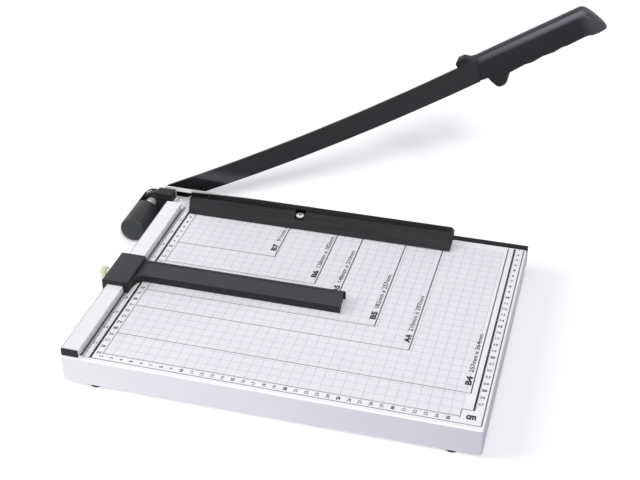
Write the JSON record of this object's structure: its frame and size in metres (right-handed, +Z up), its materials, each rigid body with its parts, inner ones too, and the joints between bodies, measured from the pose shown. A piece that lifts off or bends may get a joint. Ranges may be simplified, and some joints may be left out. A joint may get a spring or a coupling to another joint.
{
  "type": "guillotine paper cutter",
  "caption": "Desk guillotine paper cutter: a pressed steel board with a stop rail, a sliding paper gauge and a finger guard, and a hinged curved blade arm with a handle.",
  "frame": {"origin": "on the supporting surface under the feet, below the middle of the part's overall box with the arm at its rest angle", "axes": "+X to the right along the cut, towards the handle; +Y away from the user, from the board to the cut; +Z up"},
  "size_m": [0.4914, 0.3258, 0.3004],
  "materials": {
    "white_enamel": "printed satin enamel",
    "rail_enamel": "satin enamel",
    "pale_strip": "printed satin",
    "black_steel": "satin black",
    "black_plastic": "matte",
    "handle_plastic": "semi-gloss",
    "cap_plastic": "satin",
    "gauge_plastic": "matte",
    "zinc_plate": "zinc plated",
    "chrome_plate": "bright plated",
    "brass": "plain",
    "rubber": "matte"
  },
  "bodies": {
    "frame": {"base_pan": "white_enamel", "bed_knife": "black_steel", "bed_knife_screw_1": "zinc_plate", "bed_knife_screw_2": "zinc_plate", "bed_knife_screw_3": "zinc_plate", "bed_knife_screw_4": "zinc_plate", "foot_1": "rubber", "foot_2": "rubber", "foot_3": "rubber", "foot_4": "rubber", "foot_screw_1": "zinc_plate", "foot_screw_2": "zinc_plate", "foot_screw_3": "zinc_plate", "foot_screw_4": "zinc_plate", "paper_rail": "rail_enamel", "rail_front_cap": "black_plastic", "rail_rear_cap": "rail_enamel", "inch_ruler_strip": "pale_strip", "rail_screw_1": "zinc_plate", "rail_screw_2": "zinc_plate", "rail_screw_3": "zinc_plate", "guard_spacer": "zinc_plate", "guard_support": "zinc_plate", "finger_guard": "black_plastic", "guard_support_screw_1": "zinc_plate", "guard_support_screw_2": "zinc_plate", "guard_support_screw_3": "zinc_plate", "guard_screw": "chrome_plate", "guard_nut": "zinc_plate", "pivot_bracket": "black_plastic", "bracket_screw_1": "zinc_plate", "bracket_screw_2": "zinc_plate", "pivot_bolt": "zinc_plate", "pivot_head_washer": "zinc_plate", "pivot_spacer_washer": "chrome_plate", "spring_seat_collar": "chrome_plate", "pivot_spring": "black_steel", "pivot_front_washer": "zinc_plate", "pivot_nut": "zinc_plate", "spring_cap": "cap_plastic"},
    "arm": {"blade_arm": "black_steel", "handle": "handle_plastic", "handle_screw_1": "black_steel", "handle_screw_2": "black_steel"},
    "gauge": {"gauge_body": "gauge_plastic"},
    "thumbscrew": {"gauge_thumbscrew": "brass"}
  },
  "joints": [
    {"name": "arm_hinge", "type": "hinge", "parent": "frame", "child": "arm", "pos_m": [-0.2317, 0.14435, 0.021], "axis": [0, -1, 0], "range_deg": [-28, 47]},
    {"name": "gauge_slide", "type": "slide", "parent": "frame", "child": "gauge", "axis": [0, 1, 0], "range_m": [-0.1, 0.094]},
    {"name": "thumbscrew_turn", "type": "hinge", "parent": "gauge", "child": "thumbscrew", "pos_m": [-0.22, -0.02645, 0.036], "axis": [-1, 0, 0], "range_deg": [0, 360]}
  ]
}
